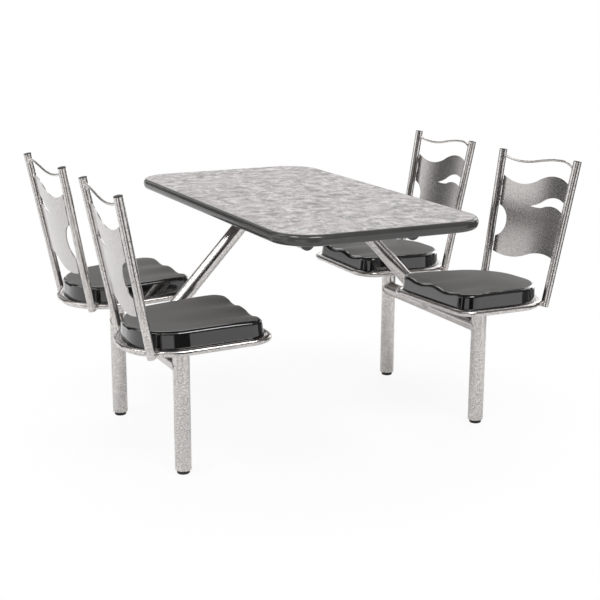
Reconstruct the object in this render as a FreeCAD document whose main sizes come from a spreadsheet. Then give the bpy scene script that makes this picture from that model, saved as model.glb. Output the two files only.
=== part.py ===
import FreeCAD, Part
import math
import operator
import os

import Sketcher
from FreeCAD import Placement, Rotation, Vector

# Four-seat cluster table. X runs across the table, Y along it and Z up from the floor, with the origin
# under the middle of the top. Lengths are in millimetres and angles in degrees.
dimensions = {
    # Table top: core board, laminate, backing sheet and bull-nosed edge band
    "table_height": 737,
    "top_length": 1219,
    "top_width": 650,
    "top_thickness": 32,
    "top_corner_radius": 116,
    "edge_depth": 11,
    "edge_land": 0.5,
    "laminate_thickness": 1.2,
    "backer_thickness": 0.8,
    # Welded tube frame: posts and beams in one size of tube, rails and struts in a slimmer one
    "post_diameter": 48.3,
    "post_wall": 3,
    "post_spread": 1012,
    "post_pitch": 573.4,
    "beam_height": 324,
    "brace_diameter": 44.5,
    "brace_wall": 2.5,
    "rail_spread": 345,
    "rail_length": 835,
    "weld_gap": 0.2,
    "fit_gap": 0.1,
    "rail_cap_thickness": 4,
    "rail_cap_plug": 15,
    # Plates and wood screws between the rails and the board
    "plate_width": 90,
    "plate_length": 130,
    "plate_thickness": 6,
    "plate_spacing": 640,
    "plate_screw_pitch_across": 68,
    "plate_screw_pitch_along": 100,
    "board_screw_diameter": 4.5,
    "board_screw_length": 25,
    "board_screw_head_diameter": 9,
    "board_screw_head_height": 3,
    # Levelling glides in the post feet
    "glide_diameter": 38,
    "glide_height": 12,
    "glide_chamfer": 2,
    "glide_stud_diameter": 10,
    "glide_stud_length": 28,
    "insert_length": 32,
    # Swivel: bushings in the post top and the chair's spindle
    "swivel_height": 30,
    "spindle_diameter": 25.4,
    "spindle_length": 112,
    "spindle_collar_diameter": 44,
    "spindle_collar_height": 6,
    "spindle_end_height": 4,
    "running_gap": 0.06,
    "thrust_gap": 0.1,
    "bushing_flange_height": 4,
    "bushing_length": 36,
    "lower_bushing_depth": 64,
    "lower_bushing_length": 25,
    # Seat ring, a bent tube that leans back with the seat
    "ring_height": 418,
    "ring_tilt": 3,
    "ring_tube_diameter": 19,
    "ring_tube_wall": 2,
    "ring_front": 210,
    "ring_rear": 176,
    "ring_front_half_width": 191,
    "ring_rear_half_width": 164,
    "ring_front_radius": 57,
    "ring_rear_flat": 30,
    # Moulded seat shell inside the ring
    "seat_gap": 1.5,
    "seat_base": 3.6,
    "seat_thickness": 53,
    "seat_draft": 5,
    "seat_edge_radius": 12,
    "seat_wall": 6,
    "seat_crown": 22,
    "hollow_depth": 8,
    "front_fall": 6.5,
    "boss_diameter": 22,
    # Support plate under the seat, with its screws
    "seat_plate_thickness": 6,
    "bar_width": 36,
    "bar_front": 95,
    "bar_rear": 58,
    "web_width": 80,
    "seat_screw_spread": 220,
    "seat_screw_diameter": 6,
    "seat_screw_length": 24,
    "seat_screw_head_diameter": 11,
    "seat_screw_head_height": 4,
    # Back: two uprights with plugs, a bowed sheet between them and a wavy rod near their tops
    "upright_diameter": 25.4,
    "upright_wall": 2,
    "upright_bearing": 48.8,
    "upright_drop": 8,
    "plug_length": 14,
    "plug_rim": 1.2,
    "plug_dome": 1.8,
    "back_height": 853,
    "back_recline": 10.7,
    "back_splay": 2.8,
    "panel_thickness": 3,
    "panel_bottom": 137,
    "panel_drop": 78,
    "panel_bow": 17.5,
    "panel_top_wave": 21,
    "panel_bottom_wave": 18,
    "panel_bottom_skew": 6,
    "rod_diameter": 8,
    "rod_drop": 17,
    "rod_wave": 12.5,
    "rod_setback": 7,
    # How far each chair is turned on its post
    "turn_front_left": -2,
    "turn_front_right": 5,
    "turn_rear_left": 2,
    "turn_rear_right": 0,
    # One overrun serves every cut
    "overrun": 5,
}

# Cut-outs of the back panel, as shares of the half width between the uprights and of the panel's height.
# The slot opens at the sitter's left upright and runs in to a tip, the bite is at the right upright.
slot_tip_shares = (-0.12, 0.65)
slot_upper_shares = ((0.07, 0.687), (0.23, 0.74))
slot_upper_crest_shares = ((0.57, 0.815), (1.0, 0.745))
slot_lower_shares = ((0.06, 0.645), (0.24, 0.656))
slot_lower_crest_shares = ((0.55, 0.7), (1.0, 0.605))
bite_shares = ((-1.0, 0.59), (-0.68, 0.375), (-1.0, 0.15))

# Sections of the seat's top: where each stands, as a share of the distance from the post to the ring's
# front, how deep its two thigh hollows are, as a share of the full depth, and how far it has fallen
# towards the front edge, as a share of the whole fall.
hollow_station_shares = (1.0, 0.75, 0.45, -0.25, -1.0)
hollow_depth_shares = (1.0, 0.85, 0.62, 0.06, 0.01)
front_fall_shares = (1.0, 0.3, 0.0, 0.0, 0.0)

# Dome of an upright's plug: shares of its radius and of its rise
dome_shares = ((1.0, 0.0), (0.8, 0.6), (0.45, 0.92), (0.0, 1.0))

# Upward part of a face's unit normal that tells a level face from a steep one
level_share = 0.7

doc = FreeCAD.newDocument("SwivelSeatTable")
sheet = doc.addObject("Spreadsheet::Sheet", "Sizes")
for row, (alias, number) in enumerate(dimensions.items(), start=1):
    sheet.set(f"A{row}", alias)
    sheet.set(f"B{row}", str(number))
    sheet.setAlias(f"B{row}", alias)
doc.recompute()


class Size:
    """A dimension as a cell formula, together with its present value."""

    def __init__(self, formula, value):
        self.formula = formula
        self.value = value

    def __add__(self, other):
        return joined(self, "+", other)

    def __radd__(self, other):
        return joined(other, "+", self)

    def __sub__(self, other):
        return joined(self, "-", other)

    def __rsub__(self, other):
        return joined(other, "-", self)

    def __mul__(self, other):
        return joined(self, "*", other)

    def __rmul__(self, other):
        return joined(other, "*", self)

    def __truediv__(self, other):
        return joined(self, "/", other)

    def __neg__(self):
        return joined(-1, "*", self)


operations = {"+": operator.add, "-": operator.sub, "*": operator.mul, "/": operator.truediv}


def as_size(thing):
    return thing if isinstance(thing, Size) else Size(repr(thing), thing)


def joined(left, sign, right):
    left, right = as_size(left), as_size(right)
    return Size(f"({left.formula} {sign} {right.formula})", operations[sign](left.value, right.value))


def cell(alias):
    return Size(f"Sizes.{alias}", float(sheet.get(alias)))


def hypotenuse(one, other):
    square = one * one + other * other
    return Size(f"sqrt({square.formula})", math.sqrt(square.value))


overrun = cell("overrun")
weld_gap = cell("weld_gap")
fit_gap = cell("fit_gap")
post_height = cell("ring_height") - cell("swivel_height")
sides = {"left": -1, "right": 1}
ends = {"front": -1, "rear": 1}
nodes = []


# Sketches and features

def origin_plane(body, role):
    return next(feature for feature in body.Origin.OriginFeatures if feature.Role == role)


def add_sketch(body, name, role, height=None):
    sketch = body.newObject("Sketcher::SketchObject", name)
    sketch.AttachmentSupport = (origin_plane(body, role), [""])
    sketch.MapMode = "FlatFace"
    if height is not None:
        sketch.setExpression("AttachmentOffset.Base.z", height.formula)
    return sketch


def constrain(sketch, kind, places, size):
    index = sketch.addConstraint(Sketcher.Constraint(kind, *places, size.value))
    sketch.setExpression(f"Constraints[{index}]", size.formula)


def add_circle(sketch, radius, across=as_size(0), along=as_size(0)):
    centre = Vector(across.value, along.value, 0)
    circle = sketch.addGeometry(Part.Circle(centre, Vector(0, 0, 1), radius.value), False)
    constrain(sketch, "Radius", (circle,), radius)
    constrain(sketch, "DistanceX", (circle, 3), across)
    constrain(sketch, "DistanceY", (circle, 3), along)


def add_polygon(sketch, corners):
    corners = [(as_size(across), as_size(along)) for across, along in corners]
    points = [Vector(across.value, along.value, 0) for across, along in corners]
    lines = []
    for start, end in zip(points, points[1:] + points[:1]):
        lines.append(sketch.addGeometry(Part.LineSegment(start, end), False))
    for line, after in zip(lines, lines[1:] + lines[:1]):
        sketch.addConstraint(Sketcher.Constraint("Coincident", line, 2, after, 1))
    for line, (across, along) in zip(lines, corners):
        constrain(sketch, "DistanceX", (line, 1), across)
        constrain(sketch, "DistanceY", (line, 1), along)


def flat(point):
    return Vector(point[0], point[1], 0)


def add_lines(sketch, points):
    for start, end in zip(points, points[1:]):
        sketch.addGeometry(Part.LineSegment(flat(start), flat(end)), False)


def add_arc(sketch, start, middle, end):
    sketch.addGeometry(Part.Arc(flat(start), flat(middle), flat(end)), False)


def rectangle(width, length):
    return [(sx * width / 2, sy * length / 2) for sx, sy in ((-1, -1), (1, -1), (1, 1), (-1, 1))]


def add_pad(body, sketch, length, draft=None, symmetric=False, reverse=False):
    pad = body.newObject("PartDesign::Pad", sketch.Name + "Pad")
    pad.Profile = sketch
    pad.Reversed = reverse
    pad.setExpression("Length", length.formula)
    if symmetric:
        pad.SideType = "Symmetric"
    if draft is not None:
        pad.setExpression("TaperAngle", (-draft).formula)
    doc.recompute()
    return pad


def add_pocket(body, sketch, depth):
    """Cuts upwards from the sketch."""
    before = body.Shape.Volume
    pocket = body.newObject("PartDesign::Pocket", sketch.Name + "Pocket")
    pocket.Profile = sketch
    pocket.Reversed = True
    pocket.setExpression("Length", depth.formula)
    doc.recompute()
    if body.Shape.Volume >= before:
        raise RuntimeError(f"{sketch.Name} cuts nothing")


def add_fillet(body, base, edges, radius):
    fillet = body.newObject("PartDesign::Fillet", base.Name + "Fillet")
    fillet.Base = (base, edges)
    fillet.setExpression("Radius", radius.formula)
    doc.recompute()
    return fillet


def edge_names(shape, wanted):
    return [f"Edge{number}" for number, edge in enumerate(shape.Edges, start=1) if wanted(edge)]


def is_upright(edge):
    return edge.BoundBox.ZLength > max(edge.BoundBox.XLength, edge.BoundBox.YLength)


def turned(name, outline):
    """A solid of revolution about Z from (radius, height) corners."""
    body = doc.addObject("PartDesign::Body", name)
    sketch = add_sketch(body, name + "Outline", "XZ_Plane")
    add_polygon(sketch, outline)
    revolution = body.newObject("PartDesign::Revolution", name + "Turned")
    revolution.Profile = sketch
    revolution.ReferenceAxis = (sketch, ["V_Axis"])
    revolution.Angle = 360
    return body


def tube(name, diameter, wall, length):
    """A round tube standing on the origin."""
    body = doc.addObject("PartDesign::Body", name)
    sketch = add_sketch(body, name + "Section", "XY_Plane")
    add_circle(sketch, diameter / 2)
    add_circle(sketch, diameter / 2 - wall)
    add_pad(body, sketch, length)
    return body


def cylinder(name, radius, height, placement):
    shape = doc.addObject("Part::Cylinder", name)
    shape.setExpression("Radius", radius.formula)
    shape.setExpression("Height", height.formula)
    shape.Placement = placement
    return shape


def cut(name, base, *tools):
    for number, tool in enumerate(tools, start=1):
        result = doc.addObject("Part::Cut", f"{name}Cut{number}")
        result.Base = base
        result.Tool = tool
        base = result
    return base


def compound(name, members):
    group = doc.addObject("Part::Compound", name)
    group.Links = members
    return group


def linked(name, master, placement):
    link = doc.addObject("App::Link", name)
    link.LinkedObject = master
    link.LinkTransform = True
    link.Placement = placement
    return link


def deliver(label, source):
    source.Label = label
    nodes.append(source)


def shifted(x, y, z):
    return Placement(Vector(x, y, z), Rotation())


def along_y(x, length, z):
    """Lays an upright piece along Y, with its middle at Y = 0."""
    return Placement(Vector(x, -length / 2, z), Rotation(Vector(1, 0, 0), -90))


def post_places():
    """Name, side and place of each post."""
    for end, along in ends.items():
        for side, across in sides.items():
            x, y = across * cell("post_spread").value / 2, along * cell("post_pitch").value / 2
            yield f"{end}_{side}", across, Vector(x, y, 0)


# Table top

def slab(name, width, length, radius, thickness):
    body = doc.addObject("PartDesign::Body", name)
    sketch = add_sketch(body, name + "Plan", "XY_Plane")
    add_polygon(sketch, rectangle(width, length))
    pad = add_pad(body, sketch, thickness)
    return body, add_fillet(body, pad, edge_names(pad.Shape, is_upright), radius)


def drill(body, name, centres, radius, depth):
    sketch = add_sketch(body, name, "XY_Plane")
    for across, along in centres:
        add_circle(sketch, radius, across, along)
    add_pocket(body, sketch, depth)


board_screw_hole = cell("board_screw_diameter") / 2 + fit_gap


def plate_screw_places():
    return rectangle(cell("plate_screw_pitch_across"), cell("plate_screw_pitch_along"))


def board_screw_places():
    plates = rectangle(cell("rail_spread"), cell("plate_spacing"))
    return [(px + x, py + y) for px, py in plates for x, y in plate_screw_places()]


def build_top():
    height, thickness = cell("table_height"), cell("top_thickness")
    laminate, backer = cell("laminate_thickness"), cell("backer_thickness")
    depth, corner = cell("edge_depth"), cell("top_corner_radius")
    width, length = cell("top_width"), cell("top_length")
    inner = (width - 2 * depth, length - 2 * depth, corner - depth)
    underside = height - thickness
    bite = cell("board_screw_length") - cell("plate_thickness") - backer + overrun / 2

    core, _ = slab("Core", *inner, thickness - laminate - backer)
    drill(core, "CoreScrewHoles", board_screw_places(), board_screw_hole, bite)
    core.Placement = shifted(0, 0, (underside + backer).value)
    deliver("tabletop_core", core)

    upper_sheet, _ = slab("Laminate", *inner, laminate)
    upper_sheet.Placement = shifted(0, 0, (height - laminate).value)
    deliver("tabletop_laminate", upper_sheet)

    lower_sheet, _ = slab("Backer", *inner, backer)
    drill(lower_sheet, "BackerScrewHoles", board_screw_places(), board_screw_hole, backer)
    lower_sheet.Placement = shifted(0, 0, underside.value)
    deliver("tabletop_backer", lower_sheet)

    blank, corners = slab("EdgeBlank", width, length, corner, thickness)
    rims = edge_names(corners.Shape, lambda edge: not is_upright(edge))
    add_fillet(blank, corners, rims, depth - cell("edge_land"))
    filling, _ = slab("EdgeFilling", *inner, thickness)
    band = cut("EdgeBand", blank, filling)
    band.Placement = shifted(0, 0, underside.value)
    deliver("tabletop_edge_band", band)


# Frame

def build_beams():
    diameter, pitch = cell("post_diameter"), cell("post_pitch")
    blank = tube("BeamBlank", diameter, cell("post_wall"), pitch)
    blank.Placement = along_y(0, pitch.value, 0)
    notches = []
    for end, sign in ends.items():
        below = shifted(0, sign * pitch.value / 2, -diameter.value)
        notches.append(cylinder("BeamNotch" + end, diameter / 2 + weld_gap, 2 * diameter, below))
    beam = cut("Beam", blank, *notches)
    for side, sign in sides.items():
        place = shifted(sign * cell("post_spread").value / 2, 0, cell("beam_height").value)
        deliver(f"beam_{side}", linked(f"Beam{side}", beam, place))


def build_rails(height):
    diameter, length = cell("brace_diameter"), cell("rail_length")
    wall = cell("brace_wall")
    rail = tube("Rail", diameter, wall, length)
    plug, lip = diameter / 2 - wall - fit_gap, diameter / 2
    low, high = -cell("rail_cap_plug"), cell("rail_cap_thickness")
    cap = turned("RailCap", [(0, low), (plug, low), (plug, 0), (lip, 0), (lip, high), (0, high)])
    caps = []
    for side, sign in sides.items():
        x = sign * cell("rail_spread").value / 2
        deliver(f"rail_{side}", linked(f"Rail{side}", rail, along_y(x, length.value, height.value)))
        for end, facing in ends.items():
            outwards = Rotation(Vector(0, 0, 1), Vector(0, facing, 0))
            place = Placement(Vector(x, facing * length.value / 2, height.value), outwards)
            caps.append(linked(f"RailCap{side}{end}", cap, place))
    deliver("rail_end_caps", compound("RailCaps", caps))


def build_struts(rail_height):
    """Each strut leans in from a beam to a rail and is notched over both."""
    diameter = cell("brace_diameter")
    run = (cell("post_spread") - cell("rail_spread")) / 2
    rise = rail_height - cell("beam_height")
    low = Vector(cell("post_spread").value / 2, 0, cell("beam_height").value)
    high = Vector(cell("rail_spread").value / 2, 0, rail_height.value)
    blank = tube("StrutBlank", diameter, cell("brace_wall"), hypotenuse(run, rise))
    blank.Placement = Placement(low, Rotation(Vector(0, 0, 1), high - low))
    notches = []
    for name, met, place in (("Low", cell("post_diameter"), low), ("High", diameter, high)):
        lying = along_y(place.x, 2 * diameter.value, place.z)
        notches.append(cylinder("StrutNotch" + name, met / 2 + weld_gap, 2 * diameter, lying))
    strut = cut("Strut", blank, *notches)
    for side, sign in sides.items():
        facing = Rotation(Vector(0, 0, 1), 0 if sign > 0 else 180)
        deliver(f"strut_{side}", linked(f"Strut{side}", strut, Placement(Vector(), facing)))


def screw(name, prefix):
    """A pan-head screw that points up from the underside of what it holds."""
    shank, length = cell(prefix + "_diameter") / 2, cell(prefix + "_length")
    head, low = cell(prefix + "_head_diameter") / 2, -cell(prefix + "_head_height")
    return turned(name, [(0, low), (head, low), (head, 0), (shank, 0), (shank, length), (0, length)])


def build_plates(level):
    thickness = cell("plate_thickness")
    plate = doc.addObject("PartDesign::Body", "MountPlate")
    plan = add_sketch(plate, "MountPlatePlan", "XY_Plane")
    add_polygon(plan, rectangle(cell("plate_width"), cell("plate_length")))
    add_pad(plate, plan, thickness)
    drill(plate, "MountPlateHoles", plate_screw_places(), board_screw_hole, thickness)
    fastener = screw("BoardScrew", "board_screw")
    plates = []
    for number, (x, y) in enumerate(rectangle(cell("rail_spread"), cell("plate_spacing")), start=1):
        plates.append(linked(f"MountPlate{number}", plate, shifted(x.value, y.value, level.value)))
    screws = []
    for number, (x, y) in enumerate(board_screw_places(), start=1):
        screws.append(linked(f"BoardScrew{number}", fastener, shifted(x.value, y.value, level.value)))
    deliver("mount_plates", compound("MountPlates", plates))
    deliver("board_screws", compound("BoardScrews", screws))


def glide_pieces(bore):
    """The foot with its stud, and the insert in the post that takes the stud."""
    rim, foot_top = cell("glide_diameter") / 2, cell("glide_height")
    chamfer, stud = cell("glide_chamfer"), cell("glide_stud_diameter") / 2
    top, hole = foot_top + cell("glide_stud_length"), stud + fit_gap
    skin, insert_top = bore - fit_gap, foot_top + cell("insert_length")
    sole = [(0, 0), (rim - chamfer, 0), (rim, chamfer), (rim, foot_top)]
    glide = turned("Glide", sole + [(stud, foot_top), (stud, top), (0, top)])
    sleeve = [(hole, foot_top), (skin, foot_top), (skin, insert_top), (hole, insert_top)]
    return glide, turned("Insert", sleeve)


def bushing_pieces(bore):
    """A flanged bushing in the post's mouth and a plain one further down."""
    shaft, skin = cell("spindle_diameter") / 2 + cell("running_gap"), bore - fit_gap
    flange, top = cell("post_diameter") / 2, post_height + cell("bushing_flange_height")
    mouth, low = post_height, post_height - cell("bushing_length")
    lower_top = post_height - cell("lower_bushing_depth")
    lower_low = lower_top - cell("lower_bushing_length")
    rim = [(skin, mouth), (flange, mouth), (flange, top), (shaft, top)]
    upper = turned("UpperBushing", [(shaft, low), (skin, low)] + rim)
    sleeve = [(shaft, lower_low), (skin, lower_low), (skin, lower_top), (shaft, lower_top)]
    return upper, turned("LowerBushing", sleeve)


def build_posts():
    diameter, wall = cell("post_diameter"), cell("post_wall")
    bore, lift = diameter / 2 - wall, cell("glide_height")
    post = tube("Post", diameter, wall, post_height - lift)
    upper, lower = bushing_pieces(bore)
    glide, insert = glide_pieces(bore)
    groups = {"levelling_glides": [glide], "glide_inserts": [insert], "swivel_bushings": [upper, lower]}
    members = {label: [] for label in groups}
    for name, _, place in post_places():
        deliver("post_" + name, linked("Post_at_" + name, post, shifted(place.x, place.y, lift.value)))
        for label, masters in groups.items():
            for master in masters:
                members[label].append(linked(master.Name + name, master, Placement(place, Rotation())))
    for label, links in members.items():
        deliver(label, compound("Group_" + label, links))


def build_frame():
    plate_level = cell("table_height") - cell("top_thickness") - cell("plate_thickness")
    rail_height = plate_level - cell("brace_diameter") / 2
    build_beams()
    build_rails(rail_height)
    build_struts(rail_height)
    build_plates(plate_level)
    build_posts()


# Chair, built once facing +X over a post at the origin. The seat group lies in the leaning plane of its
# ring. The back group lies in the plane of the two uprights, X to the sitter's left and Y up the back.

ring_radius = cell("ring_tube_diameter") / 2
seat_inset = ring_radius + cell("seat_gap")
ring_plane = Placement(
    Vector(0, 0, cell("ring_height").value),
    Rotation(Vector(0, 1, 0), -cell("ring_tilt").value),
)


def corner_arcs(inset):
    """Start, middle, end and centre of the arc that rounds each corner of the seat's plan."""
    front, rear = cell("ring_front").value, -cell("ring_rear").value
    front_half, rear_half = cell("ring_front_half_width").value, cell("ring_rear_half_width").value
    plan = [(front, front_half), (rear, rear_half), (rear, -rear_half), (front, -front_half)]
    corners = [flat(point) for point in plan]
    arcs = []
    for number, corner in enumerate(corners):
        back = (corners[number - 1] - corner).normalize()
        onward = (corners[(number + 1) % len(corners)] - corner).normalize()
        half_angle = back.getAngle(onward) / 2
        inward = (back + onward).normalize()
        step = cell("ring_front_radius").value / math.tan(half_angle)
        if corner.x < 0:
            step = rear_half - cell("ring_rear_flat").value / 2
        radius = step * math.tan(half_angle)
        centre = corner + inward * (radius / math.sin(half_angle))
        points = [corner + back * step, centre - inward * radius, corner + onward * step]
        arcs.append([centre + (point - centre) * (1 - inset / radius) for point in points] + [centre])
    return arcs


def add_ring_plan(sketch, inset=0):
    """The closed plan of the seat, from the middle of its front edge round to there again."""
    start = Vector(cell("ring_front").value - inset, 0, 0)
    at = start
    for first, middle, last, _ in corner_arcs(inset):
        add_lines(sketch, [at, first])
        add_arc(sketch, first, middle, last)
        at = last
    add_lines(sketch, [at, start])


def add_ring_pipe(body, kind, path, radius):
    section = add_sketch(body, f"{body.Name}{kind}Section", "XZ_Plane")
    add_circle(section, radius, cell("ring_front"))
    pipe = body.newObject(f"PartDesign::{kind}Pipe", f"{body.Name}{kind}")
    pipe.Profile = section
    pipe.Spine = (path, [f"Edge{number + 1}" for number in range(path.GeometryCount)])
    doc.recompute()


def ring_solid(name, radius, bore=None):
    body = doc.addObject("PartDesign::Body", name)
    path = add_sketch(body, name + "Path", "XY_Plane")
    add_ring_plan(path)
    add_ring_pipe(body, "Additive", path, radius)
    if bore is not None:
        add_ring_pipe(body, "Subtractive", path, bore)
    body.Placement = ring_plane
    return body


def seat_screw_places():
    half = cell("seat_screw_spread") / 2
    return [(bar, sign * half) for bar in (cell("bar_front"), -cell("bar_rear")) for sign in (-1, 1)]


def add_hollow_section(body, number, level):
    """One section of the space over the seat: a hollow for each thigh and a ridge between them."""
    station = cell("ring_front") * hollow_station_shares[number]
    section = add_sketch(body, f"HollowSection{number}", "YZ_Plane", station)
    half = cell("ring_front_half_width").value - cell("ring_front_radius").value
    wide = cell("ring_front_half_width").value + overrun.value
    sky = level + cell("seat_thickness").value
    level -= cell("front_fall").value * front_fall_shares[number]
    depth = cell("hollow_depth").value * hollow_depth_shares[number]
    slope, low, quarter = level - depth / 2, level - depth, half / 4
    radius = (quarter ** 2 + (depth / 2) ** 2) / depth
    lean = math.asin(quarter / radius) / 2
    part_way = (half - radius * math.sin(lean), level - radius * (1 - math.cos(lean)))
    shoulder = [(half, level), part_way, (3 * quarter, slope)]
    valley = [(3 * quarter, slope), (2 * quarter, low), (quarter, slope)]
    for arc in (shoulder, valley):
        add_arc(section, *arc)
        add_arc(section, *[(-across, along) for across, along in arc])
    add_arc(section, (quarter, slope), (0, level), (-quarter, slope))
    add_lines(section, [(half, level), (wide, level), (wide, sky)])
    add_lines(section, [(wide, sky), (-wide, sky), (-wide, level), (-half, level)])
    return section


def rim_edges(shape, low):
    """Edges above a level where the skirt meets the seating surface."""
    def on_rim(edge):
        middle = edge.valueAt((edge.FirstParameter + edge.LastParameter) / 2)
        rises = []
        for face in shape.ancestorsOfType(edge, Part.Face):
            rises.append(abs(face.normalAt(*face.Surface.parameter(middle)).z))
        return middle.z > low and min(rises) < level_share < max(rises)
    return edge_names(shape, on_rim)


def build_seat_shell():
    base, thickness = cell("seat_base"), cell("seat_thickness")
    body = doc.addObject("PartDesign::Body", "SeatShell")
    plan = add_sketch(body, "SeatPlan", "XY_Plane", base)
    add_ring_plan(plan, seat_inset.value)
    add_pad(body, plan, thickness + overrun, draft=cell("seat_draft"))
    top = (base + thickness).value
    sections = [add_hollow_section(body, number, top) for number in range(len(hollow_station_shares))]
    hollows = body.newObject("PartDesign::SubtractiveLoft", "SeatTop")
    hollows.Profile = sections[0]
    hollows.Sections = sections[1:]
    doc.recompute()
    rim = rim_edges(hollows.Shape, (base + thickness / 2).value)
    add_fillet(body, hollows, rim, cell("seat_edge_radius"))

    # Hollow underside with four screw bosses that stand on the support plate
    ceiling = thickness - cell("seat_crown")
    inside = add_sketch(body, "SeatInside", "XY_Plane", base)
    add_ring_plan(inside, (seat_inset + cell("seat_wall")).value)
    add_pocket(body, inside, ceiling)
    boss_foot = cell("seat_plate_thickness") / 2
    bosses = add_sketch(body, "SeatBosses", "XY_Plane", boss_foot)
    holes = add_sketch(body, "SeatScrewHoles", "XY_Plane", boss_foot)
    for across, along in seat_screw_places():
        add_circle(bosses, cell("boss_diameter") / 2, across, along)
        add_circle(holes, cell("seat_screw_diameter") / 2 + fit_gap, across, along)
    add_pad(body, bosses, ceiling + base - boss_foot + overrun / 2)
    add_pocket(body, holes, cell("seat_screw_length") - cell("seat_plate_thickness") + overrun / 2)
    body.Placement = ring_plane
    return body


def ring_half_width(station):
    """Half width of the ring's tapered sides at a place along the seat."""
    front, rear = cell("ring_front"), cell("ring_rear")
    front_half, rear_half = cell("ring_front_half_width"), cell("ring_rear_half_width")
    return front_half - (front_half - rear_half) * (front - station) / (front + rear)


def build_seat_plate():
    """An H-shaped plate: two bars from side to side of the ring and a web over the post."""
    front, rear = cell("bar_front"), -cell("bar_rear")
    bar, web = cell("bar_width") / 2, cell("web_width") / 2
    front_half, rear_half = ring_half_width(front), ring_half_width(rear)
    thickness = cell("seat_plate_thickness")
    body = doc.addObject("PartDesign::Body", "SeatPlate")
    plan = add_sketch(body, "SeatPlatePlan", "XY_Plane", -thickness / 2)
    left = [
        (front + bar, front_half),
        (front - bar, front_half),
        (front - bar, web),
        (rear + bar, web),
        (rear + bar, rear_half),
        (rear - bar, rear_half),
    ]
    right = [(across, -along) for across, along in reversed(left)]
    add_polygon(plan, left + right)
    add_pad(body, plan, thickness)
    holes = add_sketch(body, "SeatPlateHoles", "XY_Plane", -thickness / 2)
    for across, along in seat_screw_places():
        add_circle(holes, cell("seat_screw_diameter") / 2 + fit_gap, across, along)
    add_pocket(body, holes, thickness)
    body.Placement = ring_plane
    room = ring_solid("RingRoom", ring_radius + weld_gap)
    low = cell("ring_height") - thickness - overrun
    tall = 2 * (thickness + overrun)
    hole = cylinder("SpindleHole", cell("spindle_diameter") / 2 + fit_gap, tall, shifted(0, 0, low.value))
    return cut("SeatPlate", body, room, hole)


def build_spindle():
    shaft, collar = cell("spindle_diameter") / 2, cell("spindle_collar_diameter") / 2
    seat = post_height + cell("bushing_flange_height") + cell("thrust_gap")
    collar_top, low = seat + cell("spindle_collar_height"), seat - cell("spindle_length")
    high = cell("ring_height") + cell("seat_plate_thickness") / 2 + cell("spindle_end_height")
    collar_corners = [(shaft, seat), (collar, seat), (collar, collar_top), (shaft, collar_top)]
    return turned("Spindle", [(0, low), (shaft, low)] + collar_corners + [(shaft, high), (0, high)])


def build_seat_screws():
    fastener = screw("SeatScrew", "seat_screw")
    under = -cell("seat_plate_thickness").value / 2
    screws = []
    for number, (across, along) in enumerate(seat_screw_places(), start=1):
        place = ring_plane.multiply(shifted(across.value, along.value, under))
        screws.append(linked(f"SeatScrew{number}", fastener, place))
    return compound("SeatScrews", screws)


# Back of the chair

upright_radius = cell("upright_diameter") / 2
recline = math.radians(cell("back_recline").value)
splay = math.radians(cell("back_splay").value)
up_back = Vector(-math.sin(recline), 0, math.cos(recline))
to_left = Vector(0, 1, 0)


def upright_foot():
    """Where the left upright's axis starts, a little below where it meets a rear corner of the ring."""
    first, _, _, centre = corner_arcs(0)[1]
    reach = (first - centre).Length + (ring_radius + upright_radius + weld_gap).value
    bearing = math.radians(cell("upright_bearing").value)
    beside = centre + Vector(-math.cos(bearing), math.sin(bearing), 0) * reach
    lean = up_back * math.cos(splay) + to_left * math.sin(splay)
    return ring_plane.multVec(beside) - lean * cell("upright_drop").value


foot = upright_foot()
back_plane = Placement(Vector(foot.x, 0, foot.z), Rotation(to_left, up_back, to_left.cross(up_back)))
back_length = (cell("back_height").value - foot.z) / math.cos(recline)
upright_length = as_size(back_length / math.cos(splay))
panel_low = cell("panel_bottom").value
panel_high = back_length - cell("panel_drop").value


def half_span(height):
    """Distance from the chair's middle to an upright's axis at a height up the back."""
    return foot.y + height * math.tan(splay)


def upright_placement(sign):
    lean = Rotation(Vector(0, 0, 1), Vector(sign * math.sin(splay), math.cos(splay), 0))
    return back_plane.multiply(Placement(Vector(sign * foot.y, 0, 0), lean))


def upright_rooms(name):
    """The space that both uprights take, with room for the weld."""
    rooms = []
    for side, sign in sides.items():
        place = upright_placement(sign)
        rooms.append(cylinder(f"{name}Room{side}", upright_radius + weld_gap, upright_length, place))
    return rooms


def build_plugs():
    """A domed plug for the open top of each upright."""
    inner, outer = upright_radius - cell("upright_wall") - fit_gap, upright_radius
    low, rim, dome = -cell("plug_length"), cell("plug_rim"), cell("plug_dome")
    cap = [(outer * radial, rim + dome * rise) for radial, rise in dome_shares]
    plug = turned("Plug", [(0, low), (inner, low), (inner, 0), (outer, 0)] + cap)
    top = shifted(0, 0, upright_length.value)
    plugs = []
    for side, sign in sides.items():
        plugs.append(linked("Plug" + side, plug, upright_placement(sign).multiply(top)))
    return compound("Plugs", plugs)


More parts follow.
